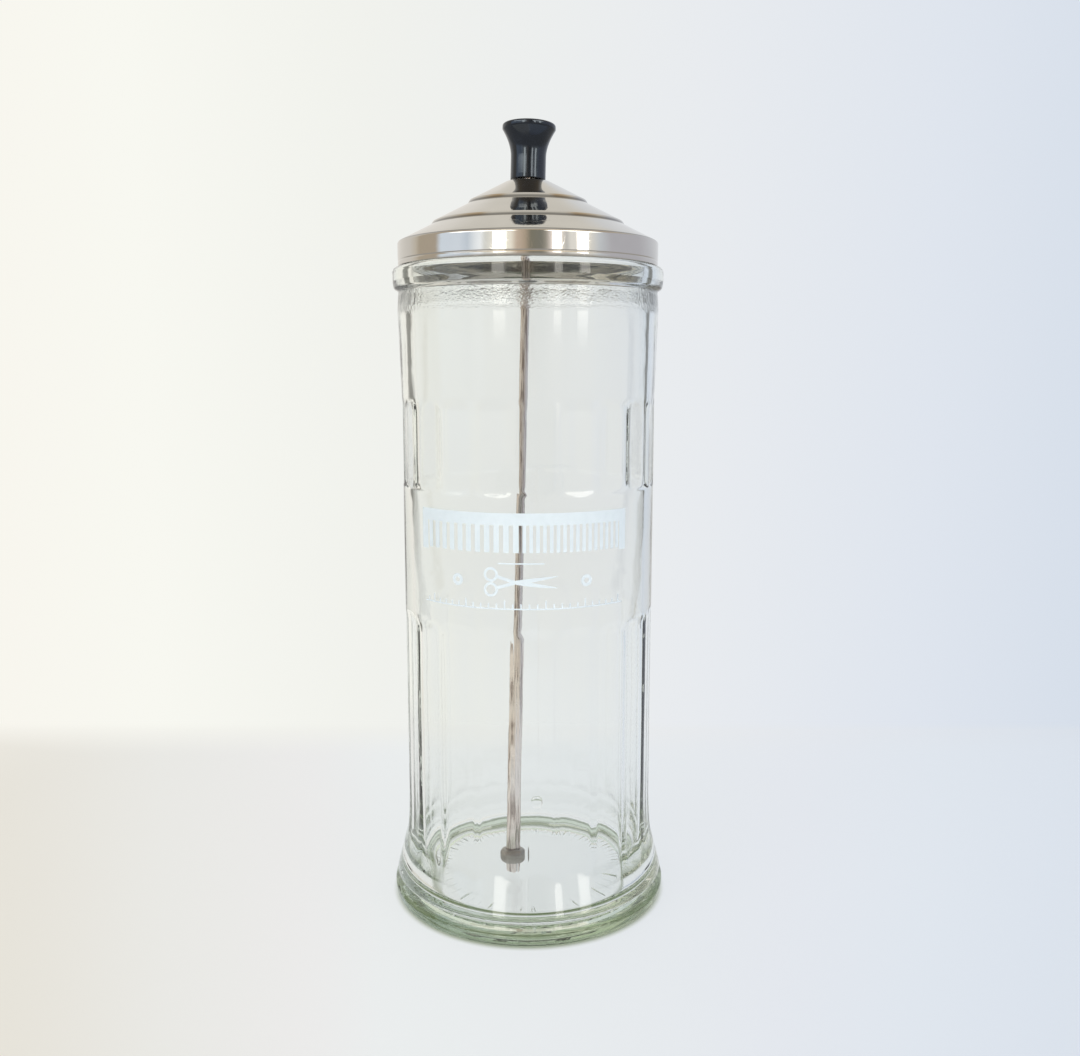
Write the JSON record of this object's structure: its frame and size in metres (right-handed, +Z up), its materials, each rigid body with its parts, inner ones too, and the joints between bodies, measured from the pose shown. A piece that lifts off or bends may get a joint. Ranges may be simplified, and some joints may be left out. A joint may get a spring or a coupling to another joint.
{
  "type": "disinfectant jar",
  "caption": "Tall faceted glass jar with a flared foot, a stepped steel slip-on lid and a lifting rod with a flared knob, for soaking salon tools in disinfectant.",
  "frame": {"origin": "centre of the jar's resting plane", "axes": "+Z up along the jar's own axis, -Y towards the front of the jar"},
  "size_m": [0.1052, 0.1052, 0.2904],
  "materials": {
    "jar_glass": "clear, faint grey-green tint",
    "lid_steel": "polished, lightly worn",
    "knob_plastic": "glossy black",
    "insert_brass": "machined",
    "rod_steel": "drawn and polished",
    "fixing_steel": "plain",
    "bead_metal": "dull, slightly pitted"
  },
  "bodies": {
    "jar": {"glass_jar": "jar_glass"},
    "lid": {"lid_shell": "lid_steel"},
    "rod_hanger": {"under_lid_washer": "fixing_steel"},
    "lift_rod_assembly": {"knob": "knob_plastic", "knob_insert": "insert_brass", "lift_rod": "rod_steel", "lock_washer": "fixing_steel", "retaining_nut": "fixing_steel", "foot_bead": "bead_metal"}
  },
  "joints": [
    {"name": "lid_lift", "type": "slide", "parent": "jar", "child": "lid", "axis": [0, 0, 1], "range_m": [0, 0.26]},
    {"name": "rod_sway", "type": "hinge", "parent": "lid", "child": "rod_hanger", "pos_m": [0, 0, 0.26951], "axis": [-0.8713, 0.4907, 0], "range_deg": [-5.72, 0]},
    {"name": "knob_turn", "type": "hinge", "parent": "rod_hanger", "child": "lift_rod_assembly", "pos_m": [0, 0, 0.26951], "axis": [0.0245, 0.0434, 0.9988], "continuous": true}
  ]
}
